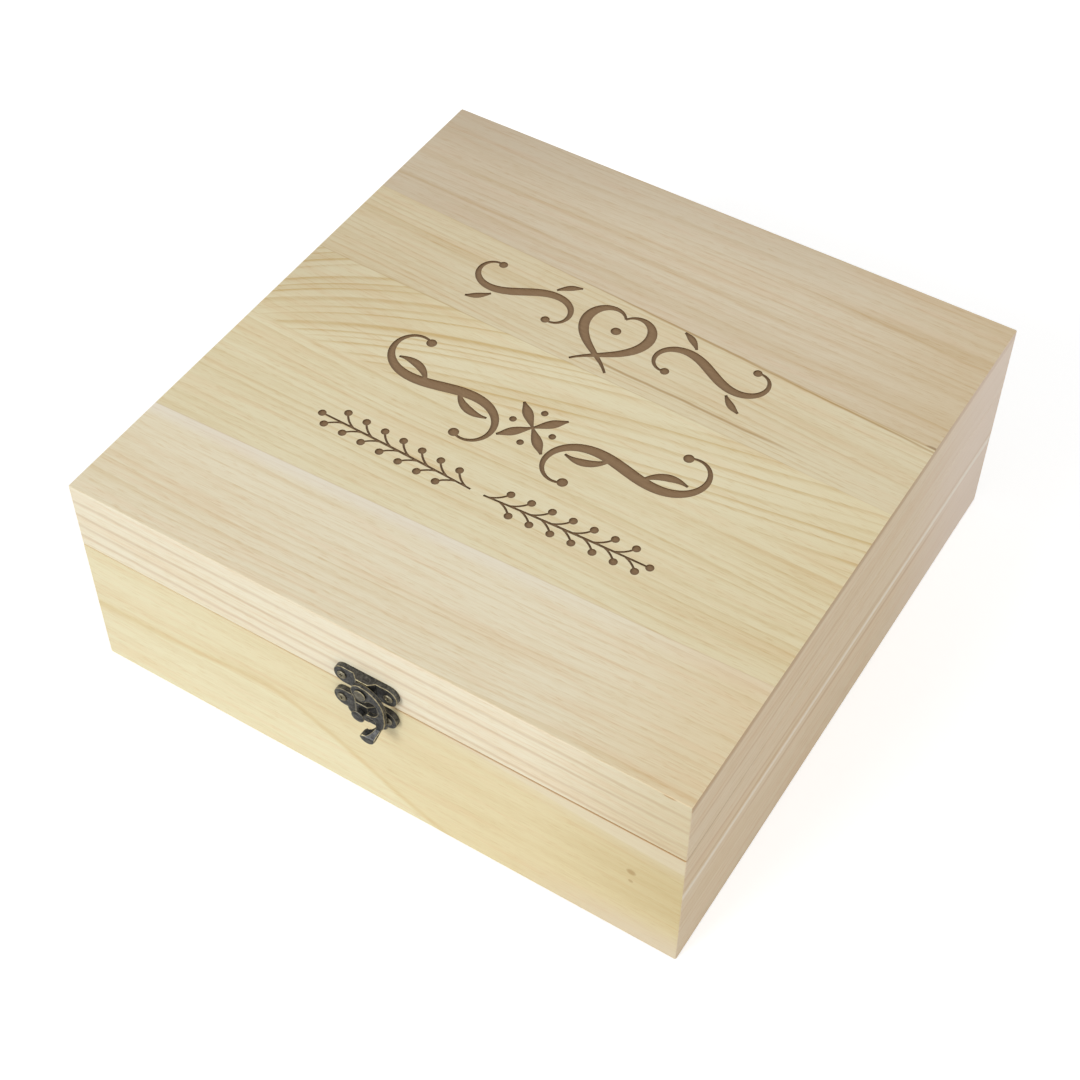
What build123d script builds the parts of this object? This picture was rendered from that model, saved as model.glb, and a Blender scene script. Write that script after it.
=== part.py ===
from build123d import *
from math import cos, hypot, pi, radians, sin, tan
import os

# Keepsake box: a square hinged box of plain pale wood.  The lid is a mitred frame under a top of
# four edge-glued boards, the base is a mitred frame round a thin bottom sheet, two small butt hinges
# join them at the back, and a cast swing-hook latch closes the front.
# Millimetres.  The origin is the middle of the underside, +Z is up, the front faces -Y.

# ---------------------------------------------------------------- box sizes
box_width = 270.0            # X
box_depth = 270.0            # Y
base_height = 69.0
lid_height = 33.65
seam_gap = 0.35              # daylight between the closed lid and the base
wall = 9.0                   # thickness of the upright boards
top_thickness = 9.0          # thickness of the lid's top boards
bottom_thickness = 4.0
bottom_rabbet = 5.0          # how far the bottom sheet is let into the walls
corner_ease = 0.8            # rounding of the upright outer corners
arris_ease = 0.5             # rounding of the other outer edges

# the top's three glue joints, each running a little out of square: y at the left and right edge
top_joints = [(72.3, 56.3), (26.0, 17.7), (-82.9, -76.2)]
# the glue joint between the two boards of the base's right wall: z at the front and back corner
side_joint_front = 46.6
side_joint_back = 42.4
side_joint_ease = 0.7        # worn edge of the lower board along that joint

# ---------------------------------------------------------------- engraving sizes
engrave_depth = 0.7
sprig_stem_width = 1.1
sprig_stalk_width = 0.9
sprig_berry_radius = 1.7
sprig_gap = 5.8              # bare wood between the two sprigs
sprig_length = 70.8          # to the middle of the berry at its end
sprig_y = -52.8
sprig_sag = 2.6              # how much lower the stem lies at its inner end
sprig_pairs = 7
sprig_pitch = 8.9
upper_berry_start = 11.6     # from the middle of the gap to the first berry above the stem
lower_berry_start = 16.4     # and to the first berry below it
upper_berry_rise = 5.6
lower_berry_drop = 4.2
sprig_stalk_lean = 6.5       # how far a berry leans away from the foot of its stalk
hairline = 1.1               # the thin ends of the ornament's strokes
heart_stroke = 4.6           # the ornament's thickest strokes
heart_length = 56.0          # of each of the two ribbons that make the heart
heart_notch = 8.0            # from the middle of the upper ornament up to the heart's notch
heart_dot_radius = 2.2
upper_scroll_x = 44.0        # from the middle to the middle of a scroll
upper_scroll_reach = 40.0    # length of a scroll's stroke from its middle to a bud
upper_bud_radius = 1.9
upper_leaf_length = 11.0
upper_leaf_width = 3.2
scroll_stroke = 5.2
lower_scroll_x = 42.0
lower_scroll_reach = 54.0
lower_bud_radius = 2.2
lower_leaf_length = 20.0
lower_leaf_width = 3.8
petal_length = 14.5
petal_width = 4.4
petal_dot_radius = 1.5
petal_dot_distance = 9.0     # from the middle of the flower
scroll_curl = 8.0            # how sharply a scroll's ends curl, for its length
ornament_x = -2.5            # all the engraving is centred here
fleuron_y = 47.5             # middle of the upper ornament
flourish_y = -16.0           # middle of the lower ornament

# ---------------------------------------------------------------- hinge sizes
hinge_spacing = 150.0        # between the middles of the two hinges
hinge_width = 24.0
leaf_height = 14.0           # from the pin's axis to the leaf's far edge
leaf_thickness = 1.0
leaf_corner = 2.5
knuckle_radius = 2.3
pin_radius = 1.1
pin_head_radius = 1.6
pin_head_thickness = 0.6
pin_clearance = 0.05         # radial, in every knuckle
lid_knuckle_width = 8.0
knuckle_gap = 0.2            # side play between neighbouring knuckles
moving_gap = 0.4             # between a knuckle and the wood or leaf it turns past
stop_angle = 105.0           # the lid leaf's heel meets the base leaf here
stop_gap = 0.15
heel_thickness = 1.0
heel_reach = 4.4             # beyond the knuckle's centre line

# ---------------------------------------------------------------- latch sizes
plate_length = 28.0
plate_height = 9.2
plate_corner = 4.4
plate_thickness = 2.3        # at the screw holes
bridge_front = 4.3           # how far the raised middle stands off the wood
bridge_flat = 5.2            # flat part of the raised middle
bridge_ramp = 2.4            # sloped part on each side of it
bridge_wall = 1.5
plate_screw_spacing = 20.6
latch_plate_x = 1.9
latch_plate_above_seam = 8.4     # seam to the middle of the upper plate
catch_plate_x = 0.8
catch_plate_below_seam = 6.2     # seam to the middle of the lower plate
catch_lobe_width = 18.0
catch_lobe_drop = 5.0            # the lobe under the lower plate
catch_lobe_thickness = 1.4
catch_lobe_corner = 3.0

hook_thickness = 1.8
hook_gap = 0.2               # hook to plate, and hook to the heads that hold it
eye_radius = 4.5
rivet_radius = 1.3
rivet_head_radius = 2.5
rivet_clearance = 0.06
rivet_x_offset = 0.7         # pivot, from the middle of the upper plate
dome_height = 0.5            # of the rivet's and the post's heads
head_rim = 0.5               # straight edge under each dome
post_neck_radius = 1.6
post_head_radius = 2.85
post_x_offset = -0.1         # post, from the middle of the lower plate
post_z_offset = 0.2
post_fit = 0.25              # clearance between the post's neck and the hook's throat
throat_angle = 15.0          # throat, right of straight down from the pivot, as the hook hangs
tip_lift = 3.8               # how far the hook's tip is bent outwards
hook_bend_drop = 17.5        # from the pivot down to the bend
hook_bend_angle = 60.0
hook_bend_radius = 1.0
plate_hole_clearance = 0.15  # radial, round the screws in the plates and leaves
tail_radius = 2.2            # riveted tails behind the raised middles
tail_thickness = 0.6

# ---------------------------------------------------------------- screw sizes
screw_radius = 1.0
screw_length = 7.0
screw_head_radius = 2.0
screw_head_height = 0.7
screw_recess_width = 0.5
screw_recess_depth = 0.45
screw_recess_span = 2.0
screw_hole_clearance = 0.05
leaf_screw_head_radius = 1.8
leaf_screw_spacing = 14.0
leaf_screw_height = 9.2      # above the pin's axis

# ---------------------------------------------------------------- places worked out from the sizes
seam_z = base_height
lid_bottom = base_height + seam_gap
top_z = lid_bottom + lid_height
front_y = -box_depth / 2
back_y = box_depth / 2
half_x = box_width / 2
inner_x = half_x - wall
inner_y = back_y - wall

latch_z = seam_z + latch_plate_above_seam
catch_z = seam_z - catch_plate_below_seam
pivot = (latch_plate_x + rivet_x_offset, latch_z)
post = (catch_plate_x + post_x_offset, catch_z + post_z_offset)
hook_back = bridge_front + hook_gap
hook_front = hook_back + hook_thickness
head_back = hook_front + hook_gap

hinge_y = back_y + knuckle_radius + moving_gap
hinge_z = seam_z + seam_gap / 2


# ---------------------------------------------------------------- small helpers
def block(x0, x1, y0, y1, z0, z1):
    """A box from its two corners."""
    size = (x1 - x0, y1 - y0, z1 - z0)
    return Pos((x0 + x1) / 2, (y0 + y1) / 2, (z0 + z1) / 2) * Box(*size)


def prism(points, z0, z1):
    """An upright prism over a plan outline."""
    outline = Plane.XY.offset(z0) * make_face(Polyline(*points, close=True))
    return extrude(outline, z1 - z0, dir=(0, 0, 1))


def front_plate(face, near, far):
    """Extrude a face drawn in (x, z) outwards from the front wall, between two distances from it."""
    placed = Plane.XZ.offset(near - front_y) * face
    return extrude(placed, far - near, dir=(0, -1, 0))


def front_cylinder(place, radius, near, far):
    """A cylinder square to the front wall, between two distances from it."""
    return front_plate(Pos(*place) * Circle(radius), near, far)


def save(name, shape):
    """Write one node: a solid, or a group of separate solids."""
    solids = shape.solids()
    node = solids[0] if len(solids) == 1 else Compound(children=list(solids))
    node.label = name
    export_step(node, f"parts/{name}.step")


# ---------------------------------------------------------------- engraving
def clothoid(start, heading, length, curve_from, curve_to, steps=28):
    """Points of a line whose curvature changes evenly along its length (per mm, left turns positive)."""
    x, y = start
    angle = radians(heading)
    pace = length / steps
    points = [(x, y)]
    for i in range(steps):
        curve = curve_from + (curve_to - curve_from) * (i + 0.5) / steps
        angle += curve * pace / 2
        x += pace * cos(angle)
        y += pace * sin(angle)
        angle += curve * pace / 2
        points.append((x, y))
    return points


def brush(points, thin, thick, fullest=0.5):
    """A pen stroke along points: thin at both ends and thickest at a share of its length."""
    left = []
    right = []
    last = len(points) - 1
    for i, (x, y) in enumerate(points):
        before = points[max(i - 1, 0)]
        after = points[min(i + 1, last)]
        run = hypot(after[0] - before[0], after[1] - before[1])
        nx = -(after[1] - before[1]) / run
        ny = (after[0] - before[0]) / run
        share = i / last
        bend = share / fullest / 2 if share < fullest else 0.5 + (share - fullest) / (1 - fullest) / 2
        half = (thin + (thick - thin) * sin(pi * bend) ** 1.5) / 2
        left.append((x + nx * half, y + ny * half))
        right.append((x - nx * half, y - ny * half))
    side_a = Spline(*left)
    side_b = Spline(*reversed(right))
    ends = [Line(side_a @ 1, side_b @ 0), Line(side_b @ 1, side_a @ 0)]
    return make_face([side_a, side_b, *ends])


def mirrored(faces):
    """Faces drawn right of x = 0, with their mirror images."""
    return faces + [mirror(face, about=Plane.YZ) for face in faces]


def dot(x, y, radius):
    return Pos(x, y) * Circle(radius)


def s_scroll(x, heading, reach, thick, bud):
    """An S-shaped scroll, the same about its centre, with a round bud at each end."""
    ahead = clothoid((x, 0), heading, reach, 0, scroll_curl / reach)
    behind = clothoid((x, 0), heading + 180, reach, 0, scroll_curl / reach)
    points = list(reversed(behind)) + ahead[1:]
    return [brush(points, hairline, thick), dot(*points[0], bud), dot(*points[-1], bud)]


def leaf(start, heading, length, bend, thick):
    """A slender leaf on a hairline stalk, turning through an angle (radians) over its length."""
    curve = bend / length
    return brush(clothoid(start, heading, length, curve, curve, 10), hairline, thick, 0.55)


def leaf_pair(x, reach, offset, heading, length, bend, thick):
    """Two leaves, half a turn apart, either side of a scroll's middle at a share of its reach."""
    dx = reach * offset[0]
    dy = reach * offset[1]
    near = leaf((x - dx, -dy), heading + 180, length, bend, thick)
    far = leaf((x + dx, dy), heading, length, bend, thick)
    return [near, far]


def fleuron_faces():
    """Upper ornament: a heart of two crossing ribbons between two scrolls."""
    curl = -9.24 / heart_length
    tail = 2.52 / heart_length
    heart = clothoid((0, heart_notch), 62, heart_length, curl, tail)
    faces = [brush(heart, hairline, heart_stroke, 0.4)]
    faces += s_scroll(upper_scroll_x, -30, upper_scroll_reach, heart_stroke, upper_bud_radius)
    faces += leaf_pair(
        upper_scroll_x, upper_scroll_reach, (0.275, -0.2), -52, upper_leaf_length, 0.55, upper_leaf_width
    )
    return mirrored(faces) + [dot(0, 0, heart_dot_radius)]


def flourish_faces():
    """Lower ornament: a four-leaved flower between two long scrolls, each with two side leaves."""
    faces = s_scroll(lower_scroll_x, -14, lower_scroll_reach, scroll_stroke, lower_bud_radius)
    faces += leaf_pair(
        lower_scroll_x, lower_scroll_reach, (0.13, -0.033), 62, lower_leaf_length, -1.4, lower_leaf_width
    )
    faces = mirrored(faces)
    for quarter in range(4):
        around = radians(90 * quarter)
        faces.append(leaf((0, 0), 90 * quarter + 45, petal_length, 0, petal_width))
        place = (petal_dot_distance * cos(around), petal_dot_distance * sin(around))
        faces.append(dot(*place, petal_dot_radius))
    return faces


def sprig_faces():
    """The right-hand sprig: a stem, berries on leaning stalks above and below it, and one at its end."""
    inner = sprig_gap / 2
    outer = inner + sprig_length
    middle = (inner + outer) / 2
    stem = ThreePointArc((inner, -sprig_sag), (middle, -sprig_sag * 0.35), (outer, 0))
    spine = [(p.X, p.Y) for p in stem.positions([i / 8 for i in range(9)])]
    faces = [brush(spine, sprig_stalk_width, sprig_stem_width), dot(outer, 0, sprig_berry_radius)]
    rows = [(upper_berry_start, upper_berry_rise), (lower_berry_start, -lower_berry_drop)]
    for start, rise in rows:
        for i in range(sprig_pairs):
            along = start + i * sprig_pitch - sprig_stalk_lean
            foot = stem.position_at((along - inner) / sprig_length)
            berry = (foot.X + sprig_stalk_lean, foot.Y + rise)
            bow = ((foot.X + berry[0]) / 2 + 0.1 * abs(rise), foot.Y + 0.4 * rise)
            curve = ThreePointArc((foot.X, foot.Y), bow, berry)
            points = [(p.X, p.Y) for p in curve.positions([i / 4 for i in range(5)])]
            faces.append(brush(points, sprig_stalk_width, sprig_stalk_width))
            faces.append(dot(*berry, sprig_berry_radius))
    return faces


def engraving_tool():
    """Every engraved shape, as one set of shallow pockets reaching just above the lid."""
    drawing = Sketch()
    drawing += [Pos(ornament_x, fleuron_y) * face for face in fleuron_faces()]
    drawing += [Pos(ornament_x, flourish_y) * face for face in flourish_faces()]
    drawing += [Pos(ornament_x, sprig_y) * face for face in mirrored(sprig_faces())]
    return extrude(Pos(0, 0, top_z - engrave_depth) * drawing, engrave_depth + 1, dir=(0, 0, 1))


# ---------------------------------------------------------------- boards
def eased_block(z0, z1):
    """The full outline of the box between two heights, with its outer edges slightly rounded."""
    solid = block(-half_x, half_x, front_y, back_y, z0, z1)
    solid = fillet(solid.edges().filter_by(Axis.Z), corner_ease)
    rims = [solid.faces().sort_by(Axis.Z)[0], solid.faces().sort_by(Axis.Z)[-1]]
    return fillet([edge for rim in rims for edge in rim.edges()], arris_ease)


def mitre_sectors(z0, z1):
    """Four upright prisms that meet on the mitre planes of the corners."""
    out_x = half_x + wall
    out_y = back_y + wall
    in_x = half_x - 2 * wall
    in_y = back_y - 2 * wall
    front = [(-out_x, -out_y), (out_x, -out_y), (in_x, -in_y), (-in_x, -in_y)]
    right = [(out_x, -out_y), (out_x, out_y), (in_x, in_y), (in_x, -in_y)]
    plans = {
        "front": front,
        "back": [(x, -y) for x, y in front],
        "right": right,
        "left": [(-x, y) for x, y in right],
    }
    return {side: prism(plan, z0, z1) for side, plan in plans.items()}


def line_at(left, right, x):
    """Height at x of a line given by its values at the box's left and right edges."""
    return left + (right - left) * (x + half_x) / box_width


def lid_boards():
    """The lid's top boards and its four rails, mitred to each other on every outer edge."""
    shell = eased_block(lid_bottom, top_z)
    ceiling = top_z - top_thickness
    shell -= block(-inner_x, inner_x, -inner_y, inner_y, lid_bottom - wall, ceiling)
    margin = 5.0
    spread = margin / top_thickness * wall
    under = Pos(0, 0, ceiling) * Rectangle(2 * inner_x, 2 * inner_y)
    over = Pos(0, 0, top_z + margin) * Rectangle(box_width + 2 * spread, box_depth + 2 * spread)
    core = loft([under, over])
    top = shell & core
    frame = shell - core
    boards = {}
    for side, sector in mitre_sectors(lid_bottom - margin, top_z + margin).items():
        boards[f"lid_{side}_rail"] = frame & sector
    out_x = half_x + margin
    edges = [(back_y + margin, back_y + margin), *top_joints, (front_y - margin, front_y - margin)]
    names = ["back", "back_middle", "front_middle", "front"]    # from the hinges forwards
    pockets = engraving_tool()
    for name, upper, lower in zip(names, edges, edges[1:]):
        plan = [
            (-out_x, line_at(*lower, -out_x)),
            (out_x, line_at(*lower, out_x)),
            (out_x, line_at(*upper, out_x)),
            (-out_x, line_at(*upper, -out_x)),
        ]
        board = top & prism(plan, ceiling - margin, top_z + margin)
        boards[f"lid_top_{name}_board"] = board - pockets
    return boards


def base_boards():
    """The base's four mitred walls, the right one glued up from two boards, and the bottom sheet."""
    margin = 5.0
    shell = eased_block(0, base_height)
    shell -= block(-inner_x, inner_x, -inner_y, inner_y, -margin, base_height + margin)
    let_x = inner_x + bottom_rabbet
    let_y = inner_y + bottom_rabbet
    shell -= block(-let_x, let_x, -let_y, let_y, -margin, bottom_thickness)
    walls = {}
    for side, sector in mitre_sectors(-margin, base_height + margin).items():
        walls[f"base_{side}_wall"] = shell & sector
    right = walls.pop("base_right_wall")
    slope = (side_joint_back - side_joint_front) / box_depth
    profile = [
        (front_y - margin, -margin),
        (back_y + margin, -margin),
        (back_y + margin, side_joint_back + slope * margin),
        (front_y - margin, side_joint_front - slope * margin),
    ]
    outline = make_face(Polyline(*profile, close=True))
    below = extrude(Plane.YZ.offset(inner_x - wall) * outline, half_x + wall, dir=(1, 0, 0))
    lower = right & below
    worn = [
        edge
        for edge in lower.edges()
        if edge.length > box_depth / 2
        and edge.center().X > half_x - arris_ease / 2
        and edge.center().Z > min(side_joint_front, side_joint_back)
    ]
    walls["base_right_wall_lower"] = chamfer(worn, side_joint_ease)
    walls["base_right_wall_upper"] = right - below
    walls["base_bottom"] = block(-let_x, let_x, -let_y, let_y, 0, bottom_thickness)
    return walls


# ---------------------------------------------------------------- screws and riveted studs
def wood_screw(head_radius):
    """A round-headed screw along Z: the head stands above z = 0, the shank goes down."""
    head = Cylinder(head_radius, screw_head_height, align=(Align.CENTER, Align.CENTER, Align.MIN))
    head = fillet(head.edges().sort_by(Axis.Z)[-1], screw_head_height * 0.7)
    for turn in (0, 90):
        slot = Rot(0, 0, turn) * Box(screw_recess_span, screw_recess_width, 2 * screw_recess_depth)
        head -= Pos(0, 0, screw_head_height) * slot
    straight = screw_length - 2 * screw_radius
    shank = Pos(0, 0, -straight / 2) * Cylinder(screw_radius, straight)
    point = Cone(screw_radius / 5, screw_radius, 2 * screw_radius)
    return head + shank + Pos(0, 0, -straight - screw_radius) * point


def front_screws(places, head_radius, seat):
    """Screws driven square into the front, at (x, z), with their heads a distance off the wood."""
    facing = Rot(90, 0, 0) * wood_screw(head_radius)
    return Compound(children=[Pos(x, front_y - seat, z) * facing for x, z in places])


def back_screws(places, head_radius, seat):
    """Screws driven square into the back, at (x, z)."""
    facing = Rot(-90, 0, 0) * wood_screw(head_radius)
    return Compound(children=[Pos(x, back_y + seat, z) * facing for x, z in places])


def drilled(board, places, y, radius, depth):
    """The board with holes at (x, z), reaching the same depth either side of the plane at y."""
    for x, z in places:
        board -= Pos(x, y, z) * Rot(90, 0, 0) * Cylinder(radius, 2 * depth)
    return board


def stud(place, shank_radius, head_radius):
    """A riveted stud through a raised plate: tail behind it, shank, and a domed head outside."""
    inner = bridge_front - bridge_wall
    shank = front_cylinder(place, shank_radius, inner - tail_thickness, head_back)
    tail = front_cylinder(place, tail_radius, inner - tail_thickness, inner)
    crown = head_back + head_rim + dome_height
    ball_radius = (head_radius**2 + dome_height**2) / (2 * dome_height)
    ball = Pos(place[0], front_y - crown + ball_radius, place[1]) * Rot(90, 0, 0) * Sphere(ball_radius)
    head = front_cylinder(place, head_radius, head_back, crown) & ball
    return shank + tail + head


# ---------------------------------------------------------------- latch
def screw_pair(x, z, spacing):
    return [(x - spacing / 2, z), (x + spacing / 2, z)]


def raised_hollow(x, z):
    """The recess behind a plate's raised middle."""
    hollow = Pos(x, z) * Rectangle(bridge_flat + bridge_ramp, plate_height - 2 * bridge_wall)
    return front_plate(hollow, 0, bridge_front - bridge_wall)


def raised_plate(x, z):
    """A cast plate with round ends, a raised middle that is hollow behind, and two screw holes."""
    flat = bridge_flat / 2
    foot = flat + bridge_ramp
    end = plate_length / 2
    profile = [
        (-end, 0),
        (end, 0),
        (end, plate_thickness),
        (foot, plate_thickness),
        (flat, bridge_front),
        (-flat, bridge_front),
        (-foot, plate_thickness),
        (-end, plate_thickness),
    ]
    side = make_face(Polyline(*[(px, front_y - pw) for px, pw in profile], close=True))
    body = Pos(x, 0, z - plate_height / 2) * extrude(side, plate_height, dir=(0, 0, 1))
    outline = Pos(x, z) * RectangleRounded(plate_length, plate_height, plate_corner)
    body &= front_plate(outline, 0, bridge_front)
    body -= raised_hollow(x, z)
    for place in screw_pair(x, z, plate_screw_spacing):
        body -= front_cylinder(place, screw_radius + plate_hole_clearance, 0, plate_thickness)
    return body


def catch_plate():
    """The lower plate: as the upper one, with a thinner lobe hanging under its middle."""
    plate = raised_plate(catch_plate_x, catch_z)
    lobe_height = plate_height / 2 + catch_lobe_drop
    middle = catch_z - lobe_height / 2
    lobe = Pos(catch_plate_x, middle) * RectangleRounded(catch_lobe_width, lobe_height, catch_lobe_corner)
    skirt = front_plate(lobe, 0, catch_lobe_thickness) - raised_hollow(catch_plate_x, catch_z)
    for place in screw_pair(catch_plate_x, catch_z, plate_screw_spacing):
        skirt -= front_cylinder(place, screw_radius + plate_hole_clearance, 0, plate_thickness)
    return plate + skirt - front_cylinder(post, post_neck_radius, 0, bridge_front)


def hook_outline():
    """The swinging hook seen from the front, about its pivot: an eye, a crescent arm whose inner
    side has a bay, a lip and the open throat that takes the post's neck, and a round thumb tip."""
    reach = hypot(post[0] - pivot[0], post[1] - pivot[1])
    throat = post_neck_radius + post_fit
    way = radians(throat_angle)
    out = (sin(way), -cos(way))          # from the pivot to the throat
    along = (cos(way), sin(way))         # from the throat's mouth into it
    half = throat * cos(radians(45))
    upper = ((reach - throat) * out[0], (reach - throat) * out[1])
    shoulder = tuple((reach - half) * o + half * a for o, a in zip(out, along))
    deepest = tuple(reach * o + throat * a for o, a in zip(out, along))
    lip_way = radians(throat_angle - 7)
    lip = ((reach - throat) * sin(lip_way), -(reach - throat) * cos(lip_way))
    lip_top = (lip[0] + 0.027 * reach, lip[1] + 0.114 * reach)
    under_lip = ((upper[0] + lip[0]) / 2, (upper[1] + lip[1]) / 2 - 0.007 * reach)
    eye_top = (0, eye_radius)
    eye_foot = (eye_radius * cos(radians(-70)), eye_radius * sin(radians(-70)))

    def at(x, z):
        """A point of the outline, as shares of the distance from the pivot to the throat."""
        return (x * reach, z * reach)

    edges = [
        ThreePointArc(eye_top, at(0.461, 0.104), at(0.668, -0.496)),
        ThreePointArc(at(0.668, -0.496), at(0.682, -0.744), at(0.64, -0.992)),
        ThreePointArc(at(0.64, -0.992), at(0.594, -1.095), at(0.528, -1.17)),
        Line(at(0.528, -1.17), at(0.496, -1.33)),
        ThreePointArc(at(0.496, -1.33), at(0.28, -1.6), at(0.045, -1.435)),
        ThreePointArc(at(0.045, -1.435), at(0.073, -1.378), at(0.125, -1.347)),
        ThreePointArc(at(0.125, -1.347), at(0.267, -1.318), at(0.36, -1.225)),
        ThreePointArc(at(0.36, -1.225), at(0.385, -1.15), at(0.39, -1.07)),
        Line(at(0.39, -1.07), deepest),
        ThreePointArc(deepest, shoulder, upper),
        ThreePointArc(upper, under_lip, lip),
        ThreePointArc(lip, (lip[0] - 0.017 * reach, lip[1] + 0.06 * reach), lip_top),
        ThreePointArc(lip_top, at(0.296, -0.737), at(0.413, -0.64)),
        ThreePointArc(at(0.413, -0.64), at(0.502, -0.4), at(0.392, -0.173)),
        ThreePointArc(at(0.392, -0.173), at(0.248, -0.165), eye_foot),
        ThreePointArc(eye_foot, (-eye_radius, 0), eye_top),
    ]
    return make_face(edges)


def hook():
    """The hook: a cast strip lying flat over both plates, its tip bent outwards for the thumb."""
    outline = Pos(*pivot) * hook_outline()
    full = front_plate(outline, hook_back, hook_front + tip_lift)
    bend = pivot[1] - hook_bend_drop
    slack = hook_thickness * tan(radians(hook_bend_angle / 2))
    drop = tip_lift / tan(radians(hook_bend_angle))
    far = 2 * (pivot[1] - post[1]) + eye_radius
    side = [
        (hook_back, bend + far),
        (hook_front, bend + far),
        (hook_front, bend),
        (hook_front + tip_lift, bend - drop),
        (hook_front + tip_lift, bend - far),
        (hook_back + tip_lift, bend - far),
        (hook_back + tip_lift, bend - drop - slack),
        (hook_back, bend - slack),
    ]
    profile = make_face(Polyline(*[(front_y - w, z) for w, z in side], close=True))
    corners = [corner for corner in profile.vertices() if abs(corner.Y - bend) < far / 2]
    profile = fillet(corners, min(hook_bend_radius, tip_lift / 2))
    strip = extrude(Plane.YZ.offset(pivot[0] - far) * profile, 2 * far, dir=(1, 0, 0))
    bore = front_cylinder(pivot, rivet_radius + rivet_clearance, 0, hook_front + hook_thickness)
    return (full & strip) - bore


# ---------------------------------------------------------------- hinges
def knuckle(x0, x1):
    """One barrel of a hinge, with the pin's hole."""
    length = x1 - x0
    barrel = Cylinder(knuckle_radius, length) - Cylinder(pin_radius + pin_clearance, length)
    return Pos((x0 + x1) / 2, hinge_y, hinge_z) * Rot(0, 90, 0) * barrel


def leaf_plate(x, up):
    """The flat part of a leaf, above or below the pin, with its far corners rounded."""
    near = hinge_z + up * (knuckle_radius + moving_gap)
    far = hinge_z + up * leaf_height
    low, high = sorted((near, far))
    half = hinge_width / 2
    plate = block(x - half, x + half, back_y, back_y + leaf_thickness, low, high)
    corners = [edge for edge in plate.edges().filter_by(Axis.Y) if abs(edge.center().Z - far) < 0.01]
    plate = fillet(corners, leaf_corner)
    holes = screw_pair(x, hinge_z + up * leaf_screw_height, leaf_screw_spacing)
    return drilled(plate, holes, back_y, screw_radius + plate_hole_clearance, 2 * leaf_thickness)


def neck(x0, x1, up):
    """The strip that joins a barrel to its leaf."""
    reach = hinge_z + up * (knuckle_radius + moving_gap)
    low, high = sorted((hinge_z, reach))
    strip = block(x0, x1, back_y, back_y + leaf_thickness, low, high)
    pin_hole = Rot(0, 90, 0) * Cylinder(pin_radius + pin_clearance, x1 - x0)
    return strip - Pos((x0 + x1) / 2, hinge_y, hinge_z) * pin_hole


def lid_leaf(x):
    """The leaf on the lid: one middle knuckle, and the heel that stops the lid as it leans back."""
    half = lid_knuckle_width / 2
    leaf = leaf_plate(x, 1) + neck(x - half, x + half, 1) + knuckle(x - half, x + half)
    inner = back_y + leaf_thickness + stop_gap
    heel = block(x - half, x + half, inner, inner + heel_thickness, hinge_z - heel_reach, hinge_z)
    axis = Axis((0, hinge_y, hinge_z), (1, 0, 0))
    pin_hole = Rot(0, 90, 0) * Cylinder(pin_radius + pin_clearance, lid_knuckle_width)
    return leaf + heel.rotate(axis, stop_angle) - Pos(x, hinge_y, hinge_z) * pin_hole


def base_leaf(x):
    """The leaf on the base, with the two outer knuckles."""
    half = hinge_width / 2
    inner = lid_knuckle_width / 2 + knuckle_gap
    leaf = leaf_plate(x, -1)
    for x0, x1 in ((x - half, x - inner), (x + inner, x + half)):
        leaf += neck(x0, x1, -1) + knuckle(x0, x1)
    return leaf


def hinge_pin(x):
    """The pin, headed over at both ends."""
    pin = Cylinder(pin_radius, hinge_width)
    for end in (-1, 1):
        head = Cylinder(pin_head_radius, pin_head_thickness)
        pin += Pos(0, 0, end * (hinge_width + pin_head_thickness) / 2) * head
    return Pos(x, hinge_y, hinge_z) * Rot(0, 90, 0) * pin


# ---------------------------------------------------------------- assembly
def main():
    os.makedirs("parts", exist_ok=True)
    nodes = {**lid_boards(), **base_boards()}

    upper_screws = screw_pair(latch_plate_x, latch_z, plate_screw_spacing)
    lower_screws = screw_pair(catch_plate_x, catch_z, plate_screw_spacing)
    nodes["latch_plate"] = raised_plate(latch_plate_x, latch_z) - front_cylinder(
        pivot, rivet_radius, 0, bridge_front
    )
    nodes["latch_hook"] = hook()
    nodes["latch_rivet"] = stud(pivot, rivet_radius, rivet_head_radius)
    nodes["catch_plate"] = catch_plate()
    nodes["catch_post"] = stud(post, post_neck_radius, post_head_radius)
    nodes["latch_plate_screws"] = front_screws(upper_screws, screw_head_radius, plate_thickness)
    nodes["catch_plate_screws"] = front_screws(lower_screws, screw_head_radius, plate_thickness)

    leaf_screws = {1: [], -1: []}
    for name, x in (("left", -hinge_spacing / 2), ("right", hinge_spacing / 2)):
        nodes[f"hinge_{name}_lid_leaf"] = lid_leaf(x)
        nodes[f"hinge_{name}_base_leaf"] = base_leaf(x)
        nodes[f"hinge_{name}_pin"] = hinge_pin(x)
        for up, places in leaf_screws.items():
            for side in (-1, 1):
                places.append((x + side * leaf_screw_spacing / 2, hinge_z + up * leaf_screw_height))
    nodes["hinge_lid_screws"] = back_screws(leaf_screws[1], leaf_screw_head_radius, leaf_thickness)
    nodes["hinge_base_screws"] = back_screws(leaf_screws[-1], leaf_screw_head_radius, leaf_thickness)

    hole = screw_radius + screw_hole_clearance
    depth = screw_length
    nodes["lid_front_rail"] = drilled(nodes["lid_front_rail"], upper_screws, front_y, hole, depth)
    nodes["base_front_wall"] = drilled(nodes["base_front_wall"], lower_screws, front_y, hole, depth)
    nodes["lid_back_rail"] = drilled(nodes["lid_back_rail"], leaf_screws[1], back_y, hole, depth)
    nodes["base_back_wall"] = drilled(nodes["base_back_wall"], leaf_screws[-1], back_y, hole, depth)

    for name, shape in nodes.items():
        save(name, shape)


main()
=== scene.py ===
import math
from typing import NamedTuple

import bpy
from mathutils import Matrix, Vector


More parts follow.
